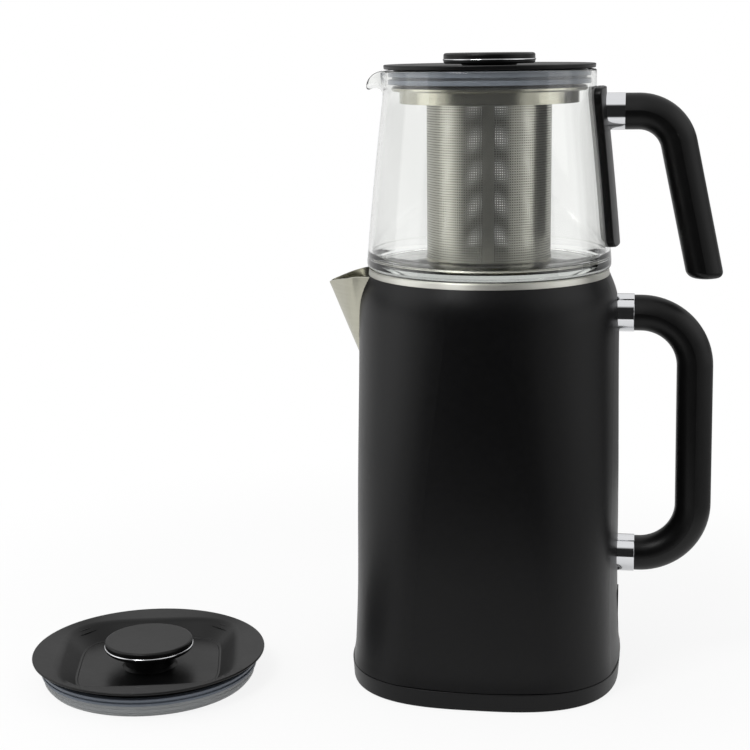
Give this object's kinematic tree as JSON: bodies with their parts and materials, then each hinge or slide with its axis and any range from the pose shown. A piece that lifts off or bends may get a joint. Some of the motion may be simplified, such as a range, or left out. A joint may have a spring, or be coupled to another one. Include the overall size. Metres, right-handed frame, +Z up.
{
  "type": "electric tea maker",
  "caption": "Double-deck electric tea maker: black kettle on a power base, glass teapot with steel infuser on top, and a loose kettle lid beside it.",
  "frame": {"origin": "centre of the power base on the surface it stands on", "axes": "+Z up, +X towards the two handles, -X towards the spout and the pouring lip, -Y the front"},
  "size_m": [0.379, 0.1907, 0.3446],
  "materials": {
    "black_satin": "satin black coating",
    "black_moulding": "fine satin",
    "brushed_neck": "brushed",
    "steel_sheet": "drawn satin",
    "perforated_steel": "photo-etched fine perforation",
    "bright_trim": "polished",
    "heater_metal": "cast",
    "contact_brass": "plain",
    "clear_glass": "clear",
    "clear_skirt": "milky clear",
    "seal_grey": "silicone",
    "pad_grey": "silicone",
    "foot_rubber": "matte"
  },
  "bodies": {
    "base": {"base_shell": "black_satin", "base_plate": "black_moulding", "base_foot_ring": "foot_rubber", "base_coupler": "black_moulding", "base_contact_ring": "contact_brass", "base_screws": "steel_sheet", "cord_gland": "foot_rubber"},
    "kettle": {"kettle_shell": "black_satin", "kettle_bottom_cover": "black_moulding", "kettle_vessel": "steel_sheet", "neck_ring": "brushed_neck", "spout": "brushed_neck", "spout_filter": "steel_sheet", "heater_plate": "heater_metal", "heating_element": "heater_metal", "control_unit": "black_moulding", "kettle_socket": "black_moulding", "kettle_collar_upper": "bright_trim", "kettle_collar_lower": "bright_trim", "kettle_grip_inner": "black_moulding", "kettle_grip_outer": "black_moulding", "kettle_handle_screws": "steel_sheet", "switch_bezel": "black_moulding", "switch_pin": "steel_sheet"},
    "switch_rocker": {"switch_rocker": "black_moulding"},
    "teapot": {"teapot_glass": "clear_glass", "strap_pad": "pad_grey", "teapot_strap": "black_moulding", "teapot_collar": "bright_trim", "teapot_grip_inner": "black_moulding", "teapot_grip_outer": "black_moulding", "teapot_handle_screw": "steel_sheet"},
    "teapot_lid": {"teapot_lid_cover": "black_moulding", "teapot_lid_seal": "seal_grey", "infuser_carrier": "black_moulding", "teapot_knob_base": "black_moulding", "teapot_knob_ring": "bright_trim", "teapot_knob_cap": "black_moulding", "teapot_lid_screw": "steel_sheet"},
    "infuser": {"infuser_rim": "steel_sheet", "infuser_sieve": "perforated_steel", "infuser_base": "steel_sheet"},
    "kettle_lid": {"kettle_lid_cover": "black_moulding", "kettle_lid_seal": "seal_grey", "kettle_lid_skirt": "clear_skirt", "kettle_knob_base": "black_moulding", "kettle_knob_ring": "bright_trim", "kettle_knob_cap": "black_moulding", "kettle_lid_screw": "steel_sheet"}
  },
  "joints": [
    {"name": "kettle_lift", "type": "slide", "parent": "base", "child": "kettle", "axis": [0, 0, 1], "range_m": [0, 0.06]},
    {"name": "switch_tilt", "type": "hinge", "parent": "kettle", "child": "switch_rocker", "pos_m": [0.07127, 0, 0.036], "axis": [0, 1, 0], "range_deg": [-9, 9]},
    {"name": "teapot_lift", "type": "slide", "parent": "kettle", "child": "teapot", "axis": [0, 0, 1], "range_m": [0, 0.06]},
    {"name": "teapot_lid_lift", "type": "slide", "parent": "teapot", "child": "teapot_lid", "axis": [0, 0, 1], "range_m": [0, 0.115]},
    {"name": "infuser_twist", "type": "hinge", "parent": "teapot_lid", "child": "infuser", "pos_m": [0, 0, 0.32], "axis": [0, 0, 1], "range_deg": [0, 40]},
    {"name": "kettle_lid_lift", "type": "slide", "parent": "base", "child": "kettle_lid", "axis": [0, 0, 1], "range_m": [0, 0.06]}
  ]
}
